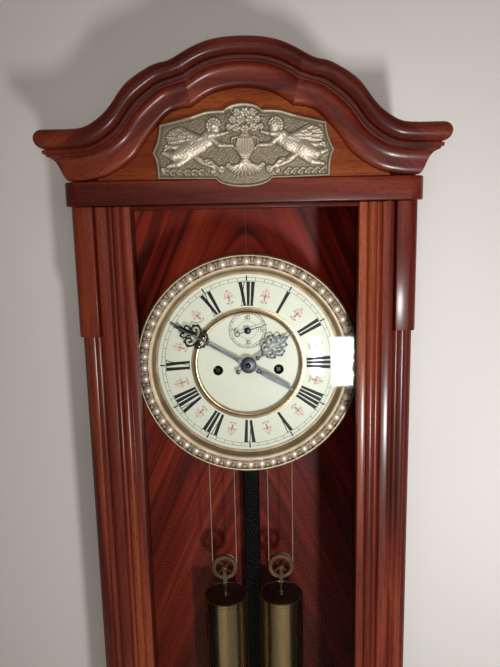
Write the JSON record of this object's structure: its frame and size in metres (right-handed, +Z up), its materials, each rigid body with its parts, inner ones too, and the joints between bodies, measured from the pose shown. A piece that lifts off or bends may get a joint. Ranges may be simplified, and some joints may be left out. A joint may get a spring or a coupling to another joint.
{
  "type": "weight-driven wall clock",
  "caption": "Vienna regulator wall clock with arched cornice, glazed door that opens, going and striking trains, weights on pulleys and a swinging pendulum.",
  "frame": {"origin": "point on the back of the case where the hanger carries the clock, 125 mm above the dial centre", "axes": "+Z up, -Y towards the room, +X to the right as seen from the front; the wall is the plane Y = 0"},
  "size_m": [0.348, 0.2, 1.1605],
  "materials": {
    "mahogany": "glossy red-brown polish",
    "back_veneer": "flame mahogany veneer, glossy",
    "tympanum_veneer": "orange-brown burr veneer, glossy",
    "brass": "polished",
    "weight_brass": "polished tube",
    "pressed_brass": "pressed relief, pale",
    "movement_brass": "satin",
    "steel": "blue-grey",
    "blued_steel": "blued",
    "iron": "black",
    "enamel": "cream-white enamel",
    "ebony": "ebonised",
    "gut": "twisted cord",
    "glass": "clear"
  },
  "bodies": {
    "case": {"backboard": "back_veneer", "side_panel_left": "mahogany", "side_panel_right": "mahogany", "case_floor": "mahogany", "case_roof": "mahogany", "frieze": "mahogany", "tympanum": "tympanum_veneer", "cornice": "mahogany", "plaque": "pressed_brass", "corner_block_left": "mahogany", "corner_block_right": "mahogany", "quarter_column_left": "mahogany", "quarter_column_right": "mahogany", "base_moulding": "mahogany", "base_bracket": "mahogany", "drop_finial": "mahogany", "hanger_plate": "brass", "door_pivot_upper": "brass", "door_pivot_lower": "brass", "movement_bracket": "iron", "back_plate": "movement_brass", "front_plate": "movement_brass", "gong_coil": "blued_steel", "gong_block": "iron", "dial_plate": "enamel", "chapter_ring": "enamel", "dial_inner_ring": "brass", "bezel": "brass", "time_line": "gut", "strike_line": "gut"},
    "door": {"door_stile_left": "mahogany", "door_stile_right": "mahogany", "door_top_rail": "mahogany", "door_bottom_rail": "mahogany", "door_glass": "glass"},
    "door_knob": {"door_knob": "brass"},
    "time_weight": {"time_weight": "weight_brass"},
    "strike_weight": {"strike_weight": "weight_brass"},
    "time_pulley": {"time_pulley": "brass"},
    "strike_pulley": {"strike_pulley": "brass"},
    "time_barrel": {"time_barrel": "movement_brass"},
    "strike_barrel": {"strike_barrel": "movement_brass"},
    "time_great_wheel": {"time_great_wheel": "movement_brass"},
    "minute_arbor": {"centre_wheel": "movement_brass", "minute_hand": "steel"},
    "third_arbor": {"third_wheel": "movement_brass"},
    "escape_arbor": {"escape_wheel": "movement_brass", "seconds_hand": "blued_steel"},
    "motion_arbor": {"minute_wheel": "movement_brass"},
    "hour_pipe": {"hour_wheel": "movement_brass", "hour_hand": "steel"},
    "strike_great_wheel": {"strike_great_wheel": "movement_brass"},
    "pin_arbor": {"pin_wheel": "movement_brass"},
    "locking_arbor": {"locking_wheel": "movement_brass"},
    "fly_arbor": {"fly": "movement_brass"},
    "hammer": {"hammer": "steel"},
    "anchor": {"anchor": "steel"},
    "pendulum": {"pendulum_rod": "ebony"},
    "bob": {"pendulum_bob": "brass"},
    "rating_nut": {"rating_nut": "brass"}
  },
  "joints": [
    {"name": "door_hinge", "type": "hinge", "parent": "case", "child": "door", "pos_m": [0.1278, -0.174, -0.395], "axis": [0, 0, 1], "range_deg": [0, 100]},
    {"name": "door_knob_turn", "type": "hinge", "parent": "door", "child": "door_knob", "pos_m": [-0.113, -0.15, -0.555], "axis": [0, 1, 0], "range_deg": [0, 90]},
    {"name": "time_weight_slide", "type": "slide", "parent": "case", "child": "time_weight", "axis": [0, 0, 1], "range_m": [-0.22, 0.13], "deforming": ["time_line"]},
    {"name": "strike_weight_slide", "type": "slide", "parent": "case", "child": "strike_weight", "axis": [0, 0, 1], "range_m": [-0.22, 0.13], "deforming": ["strike_line"]},
    {"name": "time_pulley_turn", "type": "hinge", "parent": "time_weight", "child": "time_pulley", "pos_m": [0.032, -0.082, -0.371], "axis": [0, 1, 0], "range_deg": [-929, 550]},
    {"name": "strike_pulley_turn", "type": "hinge", "parent": "strike_weight", "child": "strike_pulley", "pos_m": [-0.032, -0.082, -0.371], "axis": [0, 1, 0], "range_deg": [-550, 929]},
    {"name": "time_barrel_turn", "type": "hinge", "parent": "case", "child": "time_barrel", "pos_m": [0.0305, -0.08, -0.132], "axis": [0, 1, 0], "range_deg": [-2086, 1234]},
    {"name": "strike_barrel_turn", "type": "hinge", "parent": "case", "child": "strike_barrel", "pos_m": [-0.0305, -0.08, -0.132], "axis": [0, 1, 0], "range_deg": [-1234, 2086]},
    {"name": "third_wheel_turn", "type": "hinge", "parent": "case", "child": "third_arbor", "pos_m": [0.00926, -0.08, -0.10699], "axis": [0, 1, 0], "continuous": true},
    {"name": "minute_turn", "type": "hinge", "parent": "case", "child": "minute_arbor", "pos_m": [0, -0.08, -0.125], "axis": [0, 1, 0], "continuous": true},
    {"name": "escape_turn", "type": "hinge", "parent": "case", "child": "escape_arbor", "pos_m": [0, -0.08, -0.091], "axis": [0, 1, 0], "continuous": true},
    {"name": "time_great_wheel_turn", "type": "hinge", "parent": "case", "child": "time_great_wheel", "pos_m": [0.0305, -0.08, -0.132], "axis": [0, 1, 0], "continuous": true},
    {"name": "motion_wheel_turn", "type": "hinge", "parent": "case", "child": "motion_arbor", "pos_m": [0, -0.08, -0.137], "axis": [0, 1, 0], "continuous": true},
    {"name": "hour_turn", "type": "hinge", "parent": "case", "child": "hour_pipe", "pos_m": [0, -0.08, -0.125], "axis": [0, 1, 0], "continuous": true},
    {"name": "locking_wheel_turn", "type": "hinge", "parent": "case", "child": "locking_arbor", "pos_m": [-0.0239, -0.08, -0.09413], "axis": [0, 1, 0], "continuous": true},
    {"name": "pin_wheel_turn", "type": "hinge", "parent": "case", "child": "pin_arbor", "pos_m": [-0.03519, -0.08, -0.10541], "axis": [0, 1, 0], "continuous": true},
    {"name": "fly_turn", "type": "hinge", "parent": "case", "child": "fly_arbor", "pos_m": [-0.03026, -0.08, -0.08311], "axis": [0, 1, 0], "continuous": true},
    {"name": "strike_great_wheel_turn", "type": "hinge", "parent": "case", "child": "strike_great_wheel", "pos_m": [-0.0305, -0.08, -0.132], "axis": [0, 1, 0], "continuous": true},
    {"name": "hammer_swing", "type": "hinge", "parent": "case", "child": "hammer", "pos_m": [-0.058, -0.05, -0.111], "axis": [0, 1, 0], "range_deg": [-3, 12], "stiffness_Nm_per_rad": 0.05},
    {"name": "pendulum_swing", "type": "hinge", "parent": "case", "child": "pendulum", "pos_m": [0, -0.037, -0.075], "axis": [0, 1, 0], "range_deg": [-2.5, 2.5]},
    {"name": "anchor_rock", "type": "hinge", "parent": "case", "child": "anchor", "pos_m": [0, -0.066, -0.075], "axis": [0, 1, 0], "range_deg": [-2.5, 2.5]},
    {"name": "bob_slide", "type": "slide", "parent": "pendulum", "child": "bob", "axis": [0, 0, 1], "range_m": [-0.004, 0.004]},
    {"name": "rating_nut_turn", "type": "hinge", "parent": "bob", "child": "rating_nut", "pos_m": [0, -0.037, -0.755], "axis": [0, 0, 1], "range_deg": [-2060, 2060]}
  ],
  "couplings": [
    {"joint": "minute_turn", "follows": "third_wheel_turn", "ratio": -0.125},
    {"joint": "escape_turn", "follows": "third_wheel_turn", "ratio": -7.5},
    {"joint": "time_great_wheel_turn", "follows": "third_wheel_turn", "ratio": 0.010417},
    {"joint": "motion_wheel_turn", "follows": "third_wheel_turn", "ratio": 0.041667},
    {"joint": "hour_turn", "follows": "third_wheel_turn", "ratio": -0.010417},
    {"joint": "pin_wheel_turn", "follows": "locking_wheel_turn", "ratio": -0.14286},
    {"joint": "fly_turn", "follows": "locking_wheel_turn", "ratio": -6},
    {"joint": "strike_great_wheel_turn", "follows": "locking_wheel_turn", "ratio": 0.015873},
    {"joint": "time_barrel_turn", "follows": "time_weight_slide", "rad_per_m": 165.29},
    {"joint": "strike_barrel_turn", "follows": "strike_weight_slide", "rad_per_m": -165.29},
    {"joint": "time_pulley_turn", "follows": "time_weight_slide", "rad_per_m": 73.529},
    {"joint": "strike_pulley_turn", "follows": "strike_weight_slide", "rad_per_m": -73.529},
    {"joint": "anchor_rock", "follows": "pendulum_swing", "ratio": 1},
    {"joint": "rating_nut_turn", "follows": "bob_slide", "rad_per_m": 8976}
  ]
}
